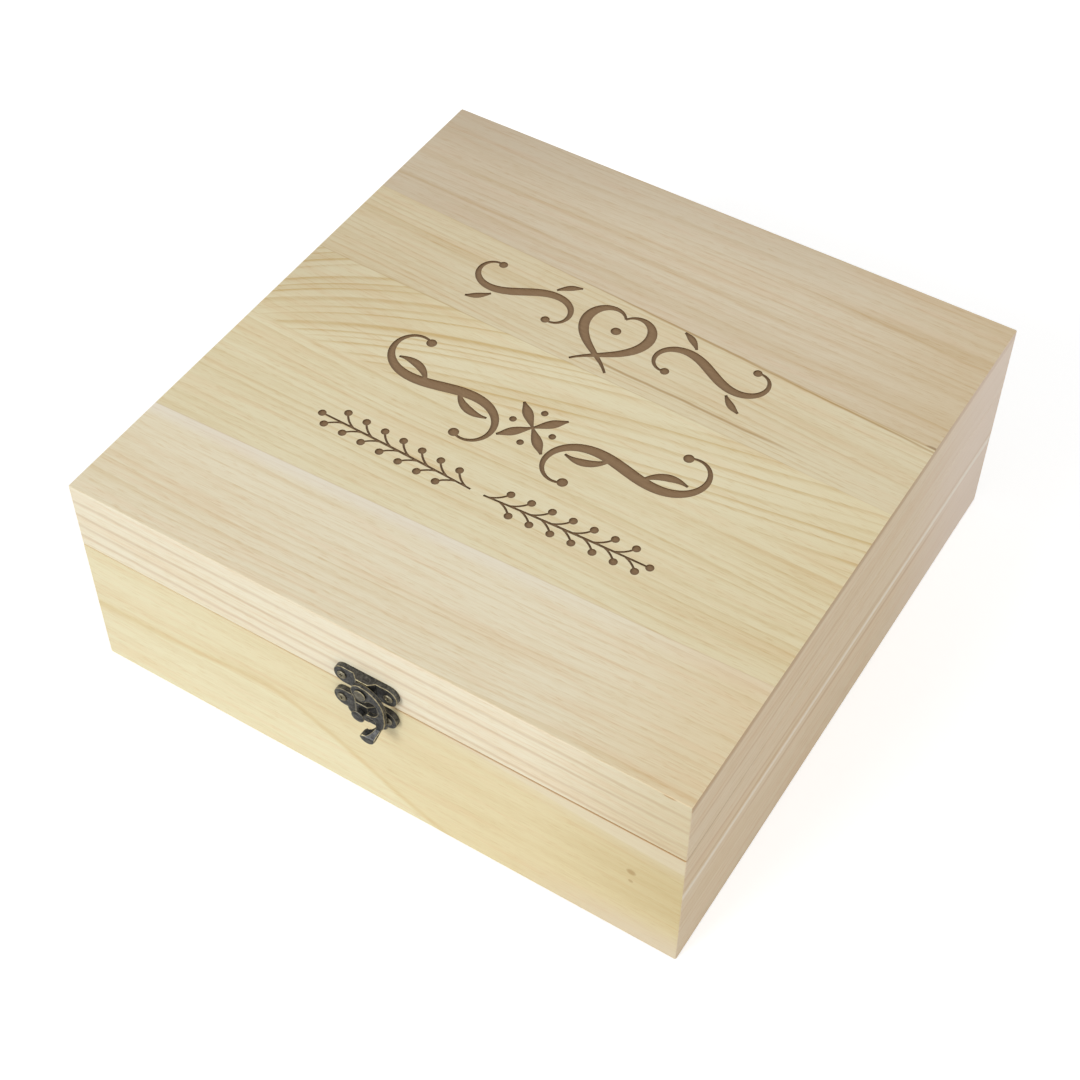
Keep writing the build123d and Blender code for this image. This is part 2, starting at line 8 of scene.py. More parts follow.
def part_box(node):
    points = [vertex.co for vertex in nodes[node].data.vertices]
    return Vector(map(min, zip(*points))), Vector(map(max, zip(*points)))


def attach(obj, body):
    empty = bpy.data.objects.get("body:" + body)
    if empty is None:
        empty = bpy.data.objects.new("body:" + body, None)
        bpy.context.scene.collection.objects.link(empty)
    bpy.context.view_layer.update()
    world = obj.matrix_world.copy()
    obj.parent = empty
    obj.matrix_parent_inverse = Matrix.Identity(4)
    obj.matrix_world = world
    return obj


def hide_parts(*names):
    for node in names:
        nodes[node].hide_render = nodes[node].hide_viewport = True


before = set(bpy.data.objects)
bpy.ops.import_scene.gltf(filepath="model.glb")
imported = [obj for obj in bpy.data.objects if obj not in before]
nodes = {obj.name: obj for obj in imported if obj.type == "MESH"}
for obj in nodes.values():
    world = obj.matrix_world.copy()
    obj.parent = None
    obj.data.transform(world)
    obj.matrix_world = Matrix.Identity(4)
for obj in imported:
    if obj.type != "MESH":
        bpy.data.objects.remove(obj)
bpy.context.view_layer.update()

# The box is described in millimetres here; Blender works in metres.
MM = 0.001
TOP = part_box("lid_top_front_board")[1].z / MM       # height of the lid's top face
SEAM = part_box("base_front_wall")[1].z / MM          # height where the lid meets the base
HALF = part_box("base_front_wall")[1].x / MM          # half the width of the box


# ---------------------------------------------------------------- node graphs written as sums
class Value:
    """An output of a node, so that + - * / with numbers or other outputs build Math nodes."""

    def __init__(self, graph, socket):
        self.graph = graph
        self.socket = socket

    def __add__(self, other):
        return self.graph.math("ADD", self, other)

    def __radd__(self, other):
        return self.graph.math("ADD", other, self)

    def __sub__(self, other):
        return self.graph.math("SUBTRACT", self, other)

    def __rsub__(self, other):
        return self.graph.math("SUBTRACT", other, self)

    def __mul__(self, other):
        return self.graph.math("MULTIPLY", self, other)

    def __rmul__(self, other):
        return self.graph.math("MULTIPLY", other, self)

    def __truediv__(self, other):
        return self.graph.math("DIVIDE", self, other)

    def __abs__(self):
        return self.graph.math("ABSOLUTE", self)


class Graph:
    """One material's node tree, with a Principled shader."""

    def __init__(self, name):
        self.material = bpy.data.materials.new(name)
        self.material.use_nodes = True
        self.tree = self.material.node_tree
        self.shader = self.tree.nodes["Principled BSDF"]

    def set(self, socket, value):
        if isinstance(value, Value):
            self.tree.links.new(value.socket, socket)
        else:
            socket.default_value = value

    def math(self, operation, *values):
        node = self.tree.nodes.new("ShaderNodeMath")
        node.operation = operation
        for socket, value in zip(node.inputs, values):
            self.set(socket, value)
        return Value(self, node.outputs[0])

    def least(self, first, second):
        return self.math("MINIMUM", first, second)

    def most(self, first, second):
        return self.math("MAXIMUM", first, second)

    def place(self):
        """The point in millimetres, in the box's own frame."""
        coordinates = self.tree.nodes.new("ShaderNodeTexCoord")
        parts = self.tree.nodes.new("ShaderNodeSeparateXYZ")
        self.tree.links.new(coordinates.outputs["Object"], parts.inputs[0])
        return [Value(self, parts.outputs[i]) * (1 / MM) for i in range(3)]

    def noise(self, x, y, z, detail=2.0, roughness=0.5):
        """Noise from 0 to 1 at a point; dividing a coordinate stretches it."""
        point = self.tree.nodes.new("ShaderNodeCombineXYZ")
        for socket, value in zip(point.inputs, (x, y, z)):
            self.set(socket, value)
        node = self.tree.nodes.new("ShaderNodeTexNoise")
        node.inputs["Scale"].default_value = 1.0
        node.inputs["Detail"].default_value = detail
        node.inputs["Roughness"].default_value = roughness
        self.tree.links.new(point.outputs[0], node.inputs["Vector"])
        return Value(self, node.outputs[0])

    def step(self, value, low, high, start=0.0, end=1.0):
        """Goes smoothly from start to end as value goes from low to high."""
        node = self.tree.nodes.new("ShaderNodeMapRange")
        node.interpolation_type = "SMOOTHSTEP"
        for socket, item in zip(node.inputs, (value, low, high, start, end)):
            self.set(socket, item)
        return Value(self, node.outputs[0])

    def fall(self, value, low, high, start=1.0, end=0.0):
        """The same the other way: from 1 down to 0, unless other levels are given."""
        return self.step(value, low, high, start, end)

    def blend(self, amount, first, second, mode="MIX"):
        node = self.tree.nodes.new("ShaderNodeMix")
        node.data_type = "RGBA"
        node.blend_type = mode
        # A Mix node numbers the sockets of its four data types in one row: 6 and 7 are colours.
        self.set(node.inputs[0], amount)
        self.set(node.inputs[6], first)
        self.set(node.inputs[7], second)
        return Value(self, node.outputs[2])

    def bump(self, height, distance, strength):
        """Raises the surface where height is 1, by a distance in millimetres."""
        node = self.tree.nodes.new("ShaderNodeBump")
        node.inputs["Strength"].default_value = strength
        node.inputs["Distance"].default_value = distance * MM
        self.set(node.inputs["Height"], height)
        self.tree.links.new(node.outputs[0], self.shader.inputs["Normal"])


def srgb(r, g, b):
    """A colour written in 0 to 255, as the shader takes it."""
    return tuple(((c / 255 + 0.055) / 1.055) ** 2.4 for c in (r, g, b)) + (1.0,)


def paint(node, material):
    """Gives a piece of the CAD model its material."""
    mesh = nodes[node].data
    mesh.materials.clear()
    mesh.materials.append(material)


# ---------------------------------------------------------------- wood
# These are multiplied into the pale colour of a board.
LATE = (0.80, 0.67, 0.47, 1.0)        # the late wood's lines and bands
FLECK = (0.86, 0.75, 0.60, 1.0)       # short dark pores
ROSY = (0.97, 0.86, 0.79, 1.0)        # long faint pink streaks

# Grain runs along X on the top, the front and the back, and along Y on the two sides. Each
# triple says which coordinate runs along the grain (u), across it (v) and into the board (w).
ON_TOP = (0, 1, 2)
ON_FRONT = (0, 2, 1)
ON_SIDE = (1, 2, 0)

INTO_BOARD = 0.35                     # how far the rings lean over with the depth in a board
FIBRE_RELIEF = 0.06                   # millimetres
WOOD_SHINE = 0.25

# Layers of noise in the wood: their length along the grain and width across it, in millimetres.
DRIFT = (170.0, 50.0)                 # pushes the rings about
BROAD = (320.0, 8.0)                  # soft bands of late wood
UNEVEN = (420.0, 13.0)                # varies the distance between rings
PRESENCE = (100.0, 8.0)               # where the thin lines show
FIBRE = (9.0, 0.4)
PORE = (6.0, 0.55)
CLOUD = (90.0, 30.0)
PINK = (55.0, 3.5)
DRIFT_REACH = 10.0                    # millimetres
UNEVEN_REACH = 3.0                    # rings
LATE_PEAK = 0.93                      # the part of a year at which the late wood is darkest


class Rings(NamedTuple):
    """How the yearly rings of a board look."""

    seed: float
    spacing: float                    # millimetres between two rings
    slope: float                      # how much they climb along the board
    lines: float                      # strength of the thin lines
    bands: float                      # strength of the broad soft bands


def layer(g, size, point, shift=0.0, detail=2.0, roughness=0.5):
    """One layer of noise at (u, v, w), stretched along the grain; shift picks its pattern."""
    length, width = size
    u, v, w = point
    return g.noise(u / length, v / width, w / width + shift, detail, roughness)


def grain(g, u, across, rings):
    """How much late wood there is: soft broad bands, and thin yearly lines that come and go."""
    seed = rings.seed
    drift = layer(g, DRIFT, (u, across, 0.0), seed, detail=1.0) - 0.5
    across = across + drift * DRIFT_REACH
    point = (u, across, 0.0)
    broad = g.step(layer(g, BROAD, point, seed + 1.7, roughness=0.6), 0.36, 0.72)
    uneven = layer(g, UNEVEN, point, seed + 5.3, detail=1.0) * UNEVEN_REACH
    year = g.math("FRACT", across / rings.spacing + uneven)
    line = g.step(year, 0.5, LATE_PEAK) * g.fall(year, LATE_PEAK, 1.0)
    presence = g.step(layer(g, PRESENCE, point, seed + 8.1), 0.28, 0.62)
    return broad * rings.bands + line * presence * rings.lines


def wood(name, axes, pale, rings, *marks, pocketed=False, figure=None):
    """Pale bare wood with the marks laid over it in turn."""
    g = Graph(name)
    place = g.place()
    u, v, w = point = [place[i] for i in axes]
    seed = rings.seed
    late = grain(g, u, v + w * INTO_BOARD + u * rings.slope, rings)
    if figure:
        late = figure(g, u, v, late, seed)
    fibre = layer(g, FIBRE, point, roughness=0.6)
    fleck = g.step(layer(g, PORE, point, seed, detail=1.0), 0.56, 0.74)
    cloud = layer(g, CLOUD, point, seed * 2.0)
    late = late + (fibre - 0.5) * 0.65 + (cloud - 0.5) * 0.35
    late = g.most(g.least(late, 1.0), 0.0)
    pink = g.step(layer(g, PINK, point, seed * 3.0, detail=3.0), 0.44, 0.70)
    colour = g.blend(late, pale, LATE, "MULTIPLY")
    colour = g.blend(fleck * 0.42, colour, FLECK, "MULTIPLY")
    colour = g.blend(pink * 0.4, colour, ROSY, "MULTIPLY")
    for shape, tint, strength, mode in marks:
        colour = g.blend(shape(g, u, v) * strength, colour, tint, mode)
    if pocketed:
        colour = scorched(g, u, v, w, colour)
    g.set(g.shader.inputs["Base Color"], colour)
    g.set(g.shader.inputs["Roughness"], 0.52 + fibre * 0.16)
    g.shader.inputs["Specular IOR Level"].default_value = WOOD_SHINE
    g.bump(fibre * 0.6 - fleck * 0.6 + late * 0.3, FIBRE_RELIEF, 0.45)
    return g.material


# The engraved field reaches this far from the middle of the lid, along X and along Y.
FIELD = (98.0, 88.0)
# the walls' colour is scorch and painted shade together
SCORCHED_AND_SHADED_WALL = srgb(108, 84, 58)
SCORCHED_FLOOR = (srgb(134, 106, 76), srgb(156, 128, 96))


def scorched(g, u, v, w, colour):
    """The pockets cut into the lid: brown floors, and darker walls that carry painted shade as
    well as the scorch. All depths are millimetres.
    """
    depth = TOP - w
    field = g.fall(abs(u), FIELD[0], FIELD[0] + 1.0) * g.fall(abs(v), FIELD[1], FIELD[1] + 1.0)
    cut = g.step(depth, 0.02, 0.07) * g.fall(depth, 1.0, 1.2) * field
    soot = g.noise(u / 6.0, v / 0.9, 2.0, 3.0)
    floor = g.blend(soot, *SCORCHED_FLOOR)
    burnt_and_shaded = g.blend(g.step(depth, 0.45, 0.69), SCORCHED_AND_SHADED_WALL, floor)
    return g.blend(cut, colour, burnt_and_shaded)


# ---------------------------------------------------------------- marks on the wood
# A shape gives 0 to 1 at (u, v) of a face, in millimetres. A mark is a shape, a colour, a
# strength and how the colour goes on.
def cover(shape, colour, strength):
    return shape, colour, strength, "MIX"


def tint(shape, colour, strength):
    return shape, colour, strength, "MULTIPLY"


def ramp(u=None, v=None):
    """Grows or fades along the grain (u) and across it (v), each (low, high, start, end)."""

    def shape(g, along, across):
        changes = ((along, u), (across, v))
        return math.prod(g.step(place, *change) for place, change in changes if change)

    return shape


def spot(centre, radii):
    """A soft round mark."""

    def shape(g, u, v):
        du = (u - centre[0]) / radii[0]
        dv = (v - centre[1]) / radii[1]
        return g.fall(du * du + dv * dv, 0.15, 1.0)

    return shape


def streak(g, u, v, start, end, width, fade):
    """A thin wandering line between two points of a face, fading out at its ends."""
    slope = (end[1] - start[1]) / (end[0] - start[0])
    wander = (g.noise(u / 25.0, start[1], 3.1) - 0.5) * 1.2
    away = abs(v - (u - start[0]) * slope - start[1] + wander)
    along = g.step(u, start[0] - fade, start[0] + fade) * g.fall(u, end[0] - fade, end[0] + fade)
    return g.fall(away, 0.0, width) * along


def streaks(*rows):
    """Streaks together. A row is (start, end, width, fade, strength)."""

    def shape(g, u, v):
        return g.least(sum(streak(g, u, v, *row[:-1]) * row[-1] for row in rows), 1.0)

    return shape


def above_line(u, v, line):
    """How far a point lies above a line, given by its heights at a face's left and right edge."""
    left, right = line
    return v - (u + HALF) * ((right - left) / (2 * HALF)) - left


def joint(line, width, along=None):
    """A thin straight line where two boards are glued; along says how it comes and goes."""

    def shape(g, u, v):
        glue = g.fall(abs(above_line(u, v, line)), 0.0, width)
        return glue * g.step(u, *along) if along else glue

    return shape


# The glue lines, by their heights at the left and right edge of the face.
BACK_JOINT = (72.3, 56.3)
MIDDLE_JOINT = (26.0, 17.7)
FRONT_JOINT = (-82.9, -76.2)
SIDE_JOINT = (46.6, 42.4)

GLUE = srgb(168, 124, 56)
DARK_LINE = srgb(122, 84, 48)
SOFT_LINE = srgb(188, 148, 100)
SEAM_BROWN = srgb(176, 124, 52)
KNOT = srgb(168, 128, 76)
ROSE = srgb(238, 222, 210)
CHALK = srgb(244, 236, 222)
PALE_FOOT = srgb(226, 212, 196)
# These four are multiplied in: the first is a tone of the wood, the other three are painted shade.
TAN = (0.86, 0.74, 0.54, 1.0)
# painted shade: darkens the right end of the front rail and the front wall
RIGHT_SHADE = (0.80, 0.76, 0.66, 1.0)
# painted shade, bluish grey: darkens the top towards its back and left
SHADE_TINT = (0.80, 0.77, 0.76, 1.0)
# painted shade under the top arris of the right side
ARRIS_SHADE = (0.77, 0.69, 0.61, 1.0)

# painted shade on the top: darker towards the left end
shaded_left_end = ramp(u=(-150.0, 20.0, 1.0, 0.0))
right_end = ramp(u=(60.0, 140.0, 0.0, 1.0))
# painted shade on the front wall: darker to the right and upwards
shaded_low_right = ramp(u=(60.0, 140.0, 0.0, 1.0), v=(0.0, 38.0, 0.35, 1.0))
foot_right = ramp(u=(50.0, 120.0, 0.0, 1.0), v=(2.0, 22.0, 1.0, 0.0))
# painted shade on the top: darker along the back edge, more to the left
shaded_back_end = ramp(u=(20.0, 130.0, 1.0, 0.2), v=(100.0, 132.0, 0.0, 1.0))
# painted shade on the top: darker at the left of the front middle board
shaded_upper_left = ramp(u=(-150.0, -40.0, 1.0, 0.0), v=(-30.0, 20.0, 0.0, 1.0))
side_back = ramp(u=(20.0, 125.0, 0.0, 1.0))
# painted shade under the top arris of the right side, darker towards the front
shaded_side_arris = ramp(u=(20.0, 130.0, 1.0, 0.35), v=(98.0, 101.0, 0.0, 1.0))

joint_nick = spot((133.5, 56.6), (3.5, 1.2))
arris_chip = spot((126.3, 102.6), (3.2, 0.6))
large_knot = spot((114.0, 44.0), (2.4, 2.0))
small_knot = spot((114.0, 38.0), (1.3, 1.1))

middle_joint = joint(MIDDLE_JOINT, 0.45, (-60.0, 80.0, 0.55, 0.25))
front_joint = joint(FRONT_JOINT, 0.5)
faint_back_joint = joint(BACK_JOINT, 0.5, (-130.0, 10.0, 0.12, 0.5))

brown_line = streaks(((-6, 29.2), (84, 26.3), 1.1, 14, 1.0))
band_behind_middle = streaks(((-150, 57.0), (-20, 51.0), 4.0, 30, 0.8))
back_tan_lines = streaks(
    ((-150, 84.5), (-45, 82.0), 1.6, 25, 1.0),
    ((60, 109.5), (150, 110.5), 4.5, 30, 0.7),
    ((-60, 92.0), (40, 90.5), 1.4, 30, 0.6),
)
rail_lines = streaks(
    ((-140, 94.9), (140, 95.4), 1.5, 12, 0.9),
    ((-140, 87.2), (140, 87.0), 1.5, 12, 1.0),
    ((-140, 81.3), (140, 77.0), 1.5, 12, 0.8),
    ((-140, 75.3), (140, 71.5), 1.5, 12, 0.9),
)
side_lines = streaks(
    ((-150, 84.3), (0, 81.5), 1.6, 40, 1.0),
    ((-150, 58.0), (35, 48.0), 1.8, 40, 1.0),
)


def back_joint(g, u, v):
    """The glue line behind the ornament, which opens into a brown line to the right."""
    opened = streak(g, u, v, (-10, 64.9), (150, 53.8), 0.9, 40)
    return g.least(faint_back_joint(g, u, v) + opened, 1.0)


def pale_band(g, u, v):
    """Chalky wood in front of the front glue line, weaker to the right."""
    above = above_line(u, v, FRONT_JOINT)
    band = g.step(above, -8.0, -1.5) * g.fall(above, -0.2, 0.2)
    return band * g.fall(u, -20.0, 90.0, 1.0, 0.25)


FAN_LENGTH = 62.0                     # how fast the fanned rings flatten, in millimetres
FAN_HEIGHT = 42.0                     # how far they are pushed up at the left end
FAN_FOOT = (-22.0, -16.6)             # height of the fan's lower edge, left and right
FLAME_FOOT = 32.5                     # height at which the flame starts at the left
RAGGED = 5.0                          # how far both edges wander, in millimetres


def fanned_rings(g, u, v, late, seed):
    """The rings of one board fan out: steep at the left end, ever flatter to the right."""
    near = g.math("EXPONENT", (u + HALF) / -FAN_LENGTH)
    rings = Rings(seed + 4.0, spacing=5.2, slope=-0.15, lines=0.7, bands=0.35)
    fan = grain(g, u, v + u * rings.slope + near * FAN_HEIGHT, rings)
    wander = (g.noise(u / 30.0, 7.0, seed) - 0.5) * RAGGED
    edge = above_line(u, v, FAN_FOOT) + wander
    return g.blend(g.step(edge, -1.5, 2.5), late, fan)


def above_flame(g, u, v):
    """Height above the edge of a broad flame, which rises to a peak and falls to the right."""
    rise = g.step(u, -150.0, -36.0, 0.0, 5.5)
    fall = g.step(u, -50.0, 48.0, 0.0, 40.0)
    wander = (g.noise(u / 40.0, v / 30.0, 4.0) - 0.5) * RAGGED
    return v - FLAME_FOOT - rise + fall + wander


def flame_edge(g, u, v):
    return g.fall(abs(above_flame(g, u, v)), 0.0, 3.6)


def flame_body(g, u, v):
    return g.step(above_flame(g, u, v), -2.0, 4.0) * g.step(u, -130.0, 90.0, 0.15, 1.0)


def wedge(g, u, v):
    """A light sliver under the seam, widening to the right."""
    above = v - SEAM + g.step(u, 15.0, 135.0, 0.0, 9.0)
    sharp = g.step(above, -0.8, 0.8)
    soft = g.step(above, -9.0, 0.5)
    return (sharp * 0.6 + soft * 0.4) * g.step(u, 10.0, 40.0)


SKIN = (1.6, 0.4)                     # the shade ends at the first depth and is full at the second
SEAM_MIDDLE = SEAM + 0.17             # middle of the gap between the lid and the base


def seam_shade(width, along):
    """Dirt and shade on the walls' outer skin along the seam, darker towards one end."""

    def shape(g, u, v):
        x, y, _ = g.place()
        skin = g.step(g.most(abs(x), abs(y)), HALF - SKIN[0], HALF - SKIN[1])
        return g.fall(abs(v - SEAM_MIDDLE), 0.2, width) * g.step(u, *along) * skin

    return shape


seam_edge = seam_shade(0.8, (-90.0, 120.0, 0.25, 1.0))
side_seam_edge = seam_shade(0.9, (-130.0, -40.0, 1.0, 0.0))


def worn_and_highlit_glue_arris(g, u, v):
    """The bright arris just below the side's glue line: worn wood, and a painted highlight where
    it catches the light.
    """
    below = abs(above_line(u, v, SIDE_JOINT) + 1.9)
    return g.fall(below, 0.5, 2.6) * g.step(u, -150.0, 150.0, 0.7, 1.0)


def glue_lines_and_shade(g, u, v):
    """Two soft dark lines, above and below the side's glue line; the upper one is painted shade at
    the joint.
    """
    height = above_line(u, v, SIDE_JOINT)
    # painted shade along the joint
    above = g.fall(abs(height - 2.2), 0.0, 1.6) * 0.6
    middle = spot((0.0, 36.0), (110.0, 30.0))(g, u, v)
    return above + g.fall(abs(height + 8.2), 0.3, 2.2) * middle


# ---------------------------------------------------------------- the boards
SIDE = srgb(224, 206, 178)
LEFT_AND_BACK = cover(seam_edge, DARK_LINE, 0.6)
boards = {
    "lid_top_back_board": wood(
        "wood_top_back", ON_TOP, srgb(227, 213, 186),
        Rings(11.0, spacing=4.0, slope=0.03, lines=0.28, bands=0.3),
        # painted shade: darker at the left end and along the back edge
        tint(shaded_left_end, SHADE_TINT, 0.6),
        tint(shaded_back_end, SHADE_TINT, 0.45),
        tint(right_end, TAN, 0.35),
        tint(back_tan_lines, LATE, 0.5),
        cover(back_joint, GLUE, 0.65),
        cover(joint_nick, DARK_LINE, 0.5),
        pocketed=True,
    ),
    "lid_top_back_middle_board": wood(
        "wood_top_back_middle", ON_TOP, srgb(232, 219, 185),
        Rings(23.0, spacing=3.4, slope=0.05, lines=0.42, bands=0.22),
        # painted shade: darker towards the left end
        tint(shaded_left_end, SHADE_TINT, 0.35),
        tint(band_behind_middle, LATE, 0.25),
        cover(back_joint, GLUE, 0.65),
        cover(brown_line, GLUE, 0.65),
        cover(middle_joint, GLUE, 0.5),
        pocketed=True,
    ),
    "lid_top_front_middle_board": wood(
        "wood_top_front_middle", ON_TOP, srgb(239, 228, 192),
        Rings(37.0, spacing=4.3, slope=0.01, lines=0.38, bands=0.25),
        # painted shade: darker at the left
        tint(shaded_upper_left, SHADE_TINT, 0.65),
        tint(right_end, TAN, 0.2),
        cover(middle_joint, GLUE, 0.5),
        cover(front_joint, SOFT_LINE, 0.245),
        pocketed=True, figure=fanned_rings,
    ),
    "lid_top_front_board": wood(
        "wood_top_front", ON_TOP, srgb(244, 233, 204),
        Rings(41.0, spacing=3.8, slope=-0.02, lines=0.32, bands=0.18),
        tint(right_end, TAN, 0.5),
        cover(pale_band, CHALK, 0.55),
        cover(front_joint, SOFT_LINE, 0.21),
        pocketed=True,
    ),
    "lid_front_rail": wood(
        "wood_front_rail", ON_FRONT, srgb(247, 238, 213),
        Rings(53.0, spacing=3.6, slope=0.0, lines=0.2, bands=0.15),
        # painted shade: darker towards the right end
        tint(right_end, RIGHT_SHADE, 1.0),
        cover(rail_lines, SOFT_LINE, 0.34),
        cover(arris_chip, SOFT_LINE, 0.7),
        cover(seam_edge, SEAM_BROWN, 0.8),
    ),
    "base_front_wall": wood(
        "wood_front_wall", ON_FRONT, srgb(243, 234, 198),
        Rings(67.0, spacing=9.0, slope=0.02, lines=0.12, bands=0.18),
        tint(flame_body, TAN, 0.42),
        tint(flame_edge, TAN, 0.6),
        # painted shade: darker towards the right
        tint(shaded_low_right, RIGHT_SHADE, 0.85),
        cover(foot_right, PALE_FOOT, 0.5),
        cover(wedge, CHALK, 0.36),
        cover(large_knot, KNOT, 0.55),
        cover(small_knot, KNOT, 0.44),
        cover(seam_edge, SEAM_BROWN, 0.8),
    ),
    "lid_right_rail": wood(
        "wood_right_rail", ON_SIDE, SIDE,
        Rings(71.0, spacing=4.0, slope=0.02, lines=0.25, bands=0.2),
        cover(side_back, ROSE, 0.65),
        cover(side_lines, SOFT_LINE, 0.35),
        # painted shade under the top arris
        tint(shaded_side_arris, ARRIS_SHADE, 1.0),
        cover(side_seam_edge, DARK_LINE, 0.3),
    ),
    "base_right_wall_upper": wood(
        "wood_right_upper", ON_SIDE, SIDE,
        Rings(79.0, spacing=4.2, slope=0.03, lines=0.25, bands=0.2),
        cover(side_back, ROSE, 0.65),
        cover(side_lines, SOFT_LINE, 0.35),
        cover(side_seam_edge, DARK_LINE, 0.3),
        cover(glue_lines_and_shade, SOFT_LINE, 0.4),
        # painted highlight and wear just below the glue line
        cover(worn_and_highlit_glue_arris, CHALK, 0.75),
    ),
    "base_right_wall_lower": wood(
        "wood_right_lower", ON_SIDE, SIDE,
        Rings(83.0, spacing=4.6, slope=0.02, lines=0.25, bands=0.2),
        cover(side_back, ROSE, 0.65),
        cover(glue_lines_and_shade, SOFT_LINE, 0.4),
        # painted highlight and wear just below the glue line
        cover(worn_and_highlit_glue_arris, CHALK, 0.75),
    ),
    "lid_back_rail": wood(
        "wood_back_rail", ON_FRONT, srgb(236, 224, 196),
        Rings(91.0, spacing=2.8, slope=0.0, lines=0.6, bands=0.4), LEFT_AND_BACK,
    ),
    "base_back_wall": wood(
        "wood_back_wall", ON_FRONT, srgb(236, 225, 194),
        Rings(97.0, spacing=5.0, slope=0.03, lines=0.5, bands=0.5), LEFT_AND_BACK,
    ),
    "lid_left_rail": wood(
        "wood_left_rail", ON_SIDE, srgb(236, 224, 196),
        Rings(101.0, spacing=2.8, slope=0.02, lines=0.6, bands=0.4), LEFT_AND_BACK,
    ),
    "base_left_wall": wood(
        "wood_left_wall", ON_SIDE, srgb(236, 223, 192),
        Rings(107.0, spacing=5.5, slope=0.02, lines=0.5, bands=0.5), LEFT_AND_BACK,
    ),
    "base_bottom": wood(
        "wood_bottom", ON_TOP, srgb(230, 214, 180),
        Rings(113.0, spacing=6.0, slope=0.02, lines=0.5, bands=0.6),
    ),
}
for board, material in boards.items():
    paint(board, material)


# ---------------------------------------------------------------- dark bronze
RUBBED_METAL = srgb(192, 180, 142)
DULL_METAL = (srgb(58, 58, 59), srgb(110, 110, 109))
BLACK_PATINA_AND_SHADE = srgb(14, 13, 13)
PATCH = (1.5, 1.5)                    # noise of the tarnish, in millimetres
GRIT = (0.3, 0.3)                     # and of the cast surface
GRIT_RELIEF = 0.14                    # millimetres
BEVEL_REACH = 0.3                     # millimetres
HOLLOW_REACH = 2.5                    # millimetres
RAYS = 8                              # samples of the Bevel and Ambient Occlusion nodes


def melted_edges(g):
    """Edges and inner corners of a casting, from how far smoothing moved its surface, in mm."""
    rounded = g.tree.nodes.new("ShaderNodeAttribute")
    rounded.attribute_name = "worn"
    shift = Value(g, rounded.outputs["Fac"])
    return g.step(shift, 0.008, 0.032), g.fall(shift, -0.03, -0.004)


def sharp_edges(g):
    """Edges of a plain solid, where a bevel would turn the surface. It has no inner corners."""
    bevel = g.tree.nodes.new("ShaderNodeBevel")
    bevel.samples = RAYS
    bevel.inputs["Radius"].default_value = BEVEL_REACH * MM
    flat = g.tree.nodes.new("ShaderNodeNewGeometry")
    turned = g.tree.nodes.new("ShaderNodeVectorMath")
    turned.operation = "DOT_PRODUCT"
    g.tree.links.new(bevel.outputs[0], turned.inputs[0])
    g.tree.links.new(flat.outputs["Normal"], turned.inputs[1])
    return g.fall(Value(g, turned.outputs["Value"]), 0.9, 0.995), 0.0


def bronze(name, find_edges=melted_edges, rim=1.0, bright=0.0):
    """Dark antiqued brass, rubbed along its edges by rim and all over by bright, and black in its
    corners and hollows: patina there, and painted shade where one part lies close over another."""
    g = Graph(name)
    x, y, z = g.place()
    edges, corners = find_edges(g)
    # patina and painted shade: darker where other surfaces lie within HOLLOW_REACH
    hollow = g.tree.nodes.new("ShaderNodeAmbientOcclusion")
    hollow.samples = RAYS
    hollow.inputs["Distance"].default_value = HOLLOW_REACH * MM
    shade = g.fall(Value(g, hollow.outputs["AO"]), 0.22, 0.75)

    patch = layer(g, PATCH, (x, y, z), detail=4.0, roughness=0.6)
    grit = layer(g, GRIT, (x, y, z), detail=3.0, roughness=0.6)
    rubbed = edges * g.step(patch, 0.25, 0.6, 0.3, 0.95) * rim
    rubbed = g.least(rubbed + g.step(patch, 0.55, 0.75) * 0.1 + bright, 1.0)
    dull = g.blend(g.step(patch * 0.6 + grit * 0.4, 0.35, 0.65), *DULL_METAL)
    colour = g.blend(rubbed, dull, RUBBED_METAL)
    colour = g.blend(g.most(corners * 0.85, shade * 0.9), colour, BLACK_PATINA_AND_SHADE)
    g.set(g.shader.inputs["Base Color"], colour)
    g.shader.inputs["Metallic"].default_value = 0.9
    g.set(g.shader.inputs["Roughness"], 0.4 - rubbed * 0.12 + grit * 0.12)
    g.bump(patch * 0.5 + grit * 0.5, GRIT_RELIEF, 0.6)
    return g.material


def evaluated(piece):
    """The piece as its modifiers leave it."""
    bpy.context.view_layer.update()
    return piece.evaluated_get(bpy.context.evaluated_depsgraph_get())


def smoothed(piece, passes):
    """Where the piece's points come to lie after some rounds of smoothing."""
    smooth = piece.modifiers.new("smooth", "SMOOTH")
    smooth.factor = 0.5
    smooth.iterations = passes
    points = [point.co.copy() for point in evaluated(piece).data.vertices]
    piece.modifiers.clear()
    return points


def cast_copy(node, body, material, cell, passes):
    """A copy of a casting with its sharp edges melted round, which stands for the plain solid.

    It is rebuilt from cells of a size in millimetres and then smoothed. Longer smoothing tells
    which places stick out or lie in a corner; it is kept as the attribute "worn"."""
    piece = bpy.data.objects.new(node + "_casting", nodes[node].data.copy())
    bpy.context.scene.collection.objects.link(piece)
    remesh = piece.modifiers.new("remesh", "REMESH")
    remesh.mode = "VOXEL"
    remesh.voxel_size = cell * MM
    mesh = bpy.data.meshes.new_from_object(evaluated(piece))
    piece.data = mesh
    piece.modifiers.clear()
    melted = smoothed(piece, passes)
    rubbed = smoothed(piece, 4 * passes)
    worn = mesh.attributes.new("worn", "FLOAT", "POINT")
    points = mesh.vertices
    shifts = [(point.co - far).dot(point.normal) / MM for point, far in zip(points, rubbed)]
    worn.data.foreach_set("value", shifts)
    for point, soft in zip(points, melted):
        point.co = soft
    mesh.materials.clear()
    mesh.materials.append(material)
    mesh.polygons.foreach_set("use_smooth", [True] * len(mesh.polygons))
    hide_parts(node)
    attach(piece, body)


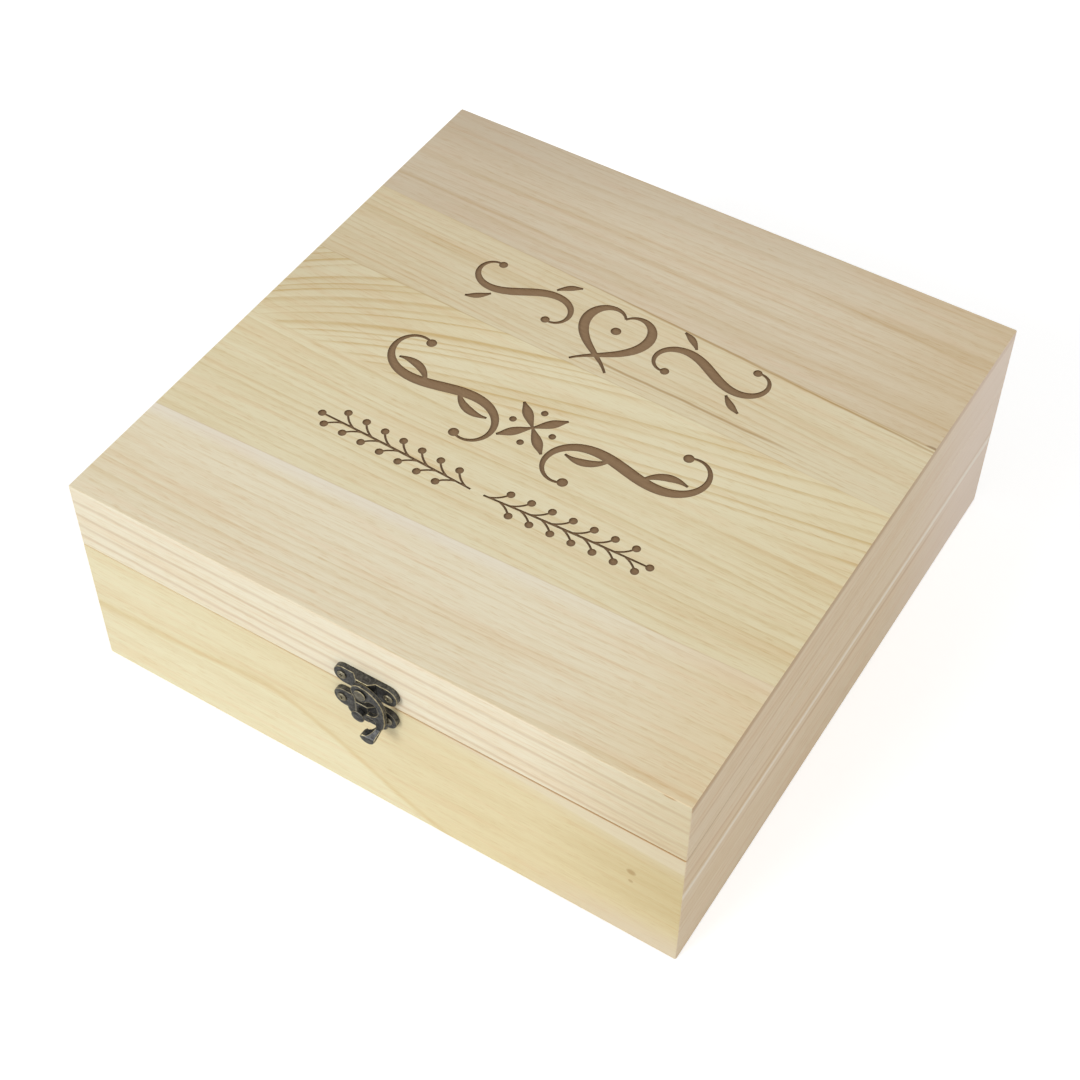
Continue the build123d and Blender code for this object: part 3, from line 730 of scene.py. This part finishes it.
casting = bronze("bronze_casting")
catch_metal = bronze("bronze_catch", rim=0.6)
rivet_metal = bronze("bronze_rivet", rim=0.8, bright=0.2)
post_metal = bronze("bronze_post", rim=0.4)
screw_metal = bronze("bronze_screw", bright=0.4)
stamped = bronze("bronze_stamped", sharp_edges, rim=0.7)
stamped_screw = bronze("bronze_stamped_screw", sharp_edges, bright=0.4)
cast_copy("latch_plate", "lid", casting, cell=0.12, passes=5)
cast_copy("catch_plate", "base", catch_metal, cell=0.12, passes=5)
cast_copy("latch_hook", "hook", casting, cell=0.11, passes=6)
cast_copy("latch_rivet", "lid", rivet_metal, cell=0.09, passes=6)
cast_copy("catch_post", "base", post_metal, cell=0.09, passes=6)
cast_copy("latch_plate_screws", "lid", screw_metal, cell=0.07, passes=3)
cast_copy("catch_plate_screws", "base", screw_metal, cell=0.07, passes=3)
for side in ("left", "right"):
    for part in ("lid_leaf", "base_leaf", "pin"):
        paint(f"hinge_{side}_{part}", stamped)
for node in ("hinge_lid_screws", "hinge_base_screws"):
    paint(node, stamped_screw)


# ---------------------------------------------------------------- floor, light and camera
FLOOR_SIZE = 30.0                     # metres
FLOOR_DROP = 0.0002                   # metres below the box, so that the faces don't meet
FLOOR_GREY = (0.74, 0.74, 0.74, 1.0)
FLOOR_GLOW = 0.53
SKY_LIGHT = 0.54
SKY_SEEN = 1.0


def glowing_for_camera(tree, lit, level):
    """Adds a plain white glow that only the camera sees, so that the ground is white but
    keeps the shadow."""
    path = tree.nodes.new("ShaderNodeLightPath")
    glow = tree.nodes.new("ShaderNodeEmission")
    glow.inputs["Strength"].default_value = level
    dark = tree.nodes.new("ShaderNodeEmission")
    dark.inputs["Strength"].default_value = 0.0
    pick = tree.nodes.new("ShaderNodeMixShader")
    both = tree.nodes.new("ShaderNodeAddShader")
    tree.links.new(path.outputs["Is Camera Ray"], pick.inputs[0])
    tree.links.new(dark.outputs[0], pick.inputs[1])
    tree.links.new(glow.outputs[0], pick.inputs[2])
    tree.links.new(lit, both.inputs[0])
    tree.links.new(pick.outputs[0], both.inputs[1])
    return both.outputs[0]


bpy.ops.mesh.primitive_plane_add(size=FLOOR_SIZE, location=(0, 0, -FLOOR_DROP))
floor = bpy.context.object
floor.name = "floor"
ground = Graph("floor_white")
ground.shader.inputs["Base Color"].default_value = FLOOR_GREY
ground.shader.inputs["Roughness"].default_value = 0.9
ground.shader.inputs["Specular IOR Level"].default_value = 0.0
output = ground.tree.nodes["Material Output"]
whitened = glowing_for_camera(ground.tree, ground.shader.outputs[0], FLOOR_GLOW)
ground.tree.links.new(whitened, output.inputs["Surface"])
floor.data.materials.append(ground.material)

scene = bpy.context.scene
scene.view_settings.view_transform = "Standard"

# The world is white where the camera or the metal sees it, and lights the object less.
world = bpy.data.worlds.new("studio")
scene.world = world
world.use_nodes = True
sky = world.node_tree
backdrop = sky.nodes["Background"]
backdrop.inputs["Color"].default_value = (1, 1, 1, 1)
rays = sky.nodes.new("ShaderNodeLightPath")
seen = sky.nodes.new("ShaderNodeMath")
seen.operation = "MAXIMUM"
sky.links.new(rays.outputs["Is Camera Ray"], seen.inputs[0])
sky.links.new(rays.outputs["Is Glossy Ray"], seen.inputs[1])
level = sky.nodes.new("ShaderNodeMapRange")
level.inputs["To Min"].default_value = SKY_LIGHT
level.inputs["To Max"].default_value = SKY_SEEN
sky.links.new(seen.outputs[0], level.inputs["Value"])
sky.links.new(level.outputs[0], backdrop.inputs["Strength"])


def sun(name, energy, angle, towards):
    """A sun lamp that stands in a direction; its angle in degrees sets how soft it is."""
    lamp = bpy.data.lights.new(name, "SUN")
    lamp.energy = energy
    lamp.angle = math.radians(angle)
    light = bpy.data.objects.new(name, lamp)
    light.rotation_mode = "QUATERNION"
    light.rotation_quaternion = Vector(towards).to_track_quat("Z", "Y")
    scene.collection.objects.link(light)


sun("window", energy=1.27, angle=24, towards=(-0.32, -0.80, 0.46))
sun("fill", energy=0.77, angle=60, towards=(0.90, -0.12, 0.40))

# The camera stands where the photograph's vanishing lines put it. Its place is given in box
# widths from the middle of the footprint: backwards, to the right and up in its own frame.
AZIMUTH, ELEVATION, ROLL = (math.radians(angle) for angle in (31.78, 49.71, 0.3))
BOX_WIDTH = 0.27
AWAY, ASIDE, RAISED = 3.2009, -0.0272, 0.0511
back = Vector((
    math.sin(AZIMUTH) * math.cos(ELEVATION),
    -math.cos(AZIMUTH) * math.cos(ELEVATION),
    math.sin(ELEVATION),
))
right = Vector((math.cos(AZIMUTH), math.sin(AZIMUTH), 0))
up = back.cross(right)
tilted_right = right * math.cos(ROLL) + up * math.sin(ROLL)
tilted_up = up * math.cos(ROLL) - right * math.sin(ROLL)
eye = BOX_WIDTH * (AWAY * back + ASIDE * tilted_right + RAISED * tilted_up)
turn = Matrix((tilted_right, tilted_up, back)).transposed()
lens = bpy.data.cameras.new("camera")
lens.lens = 66.89
lens.sensor_width = 36
lens.clip_start = 0.01
camera = bpy.data.objects.new("camera", lens)
camera.matrix_world = Matrix.Translation(eye) @ turn.to_4x4()
scene.collection.objects.link(camera)
scene.camera = camera
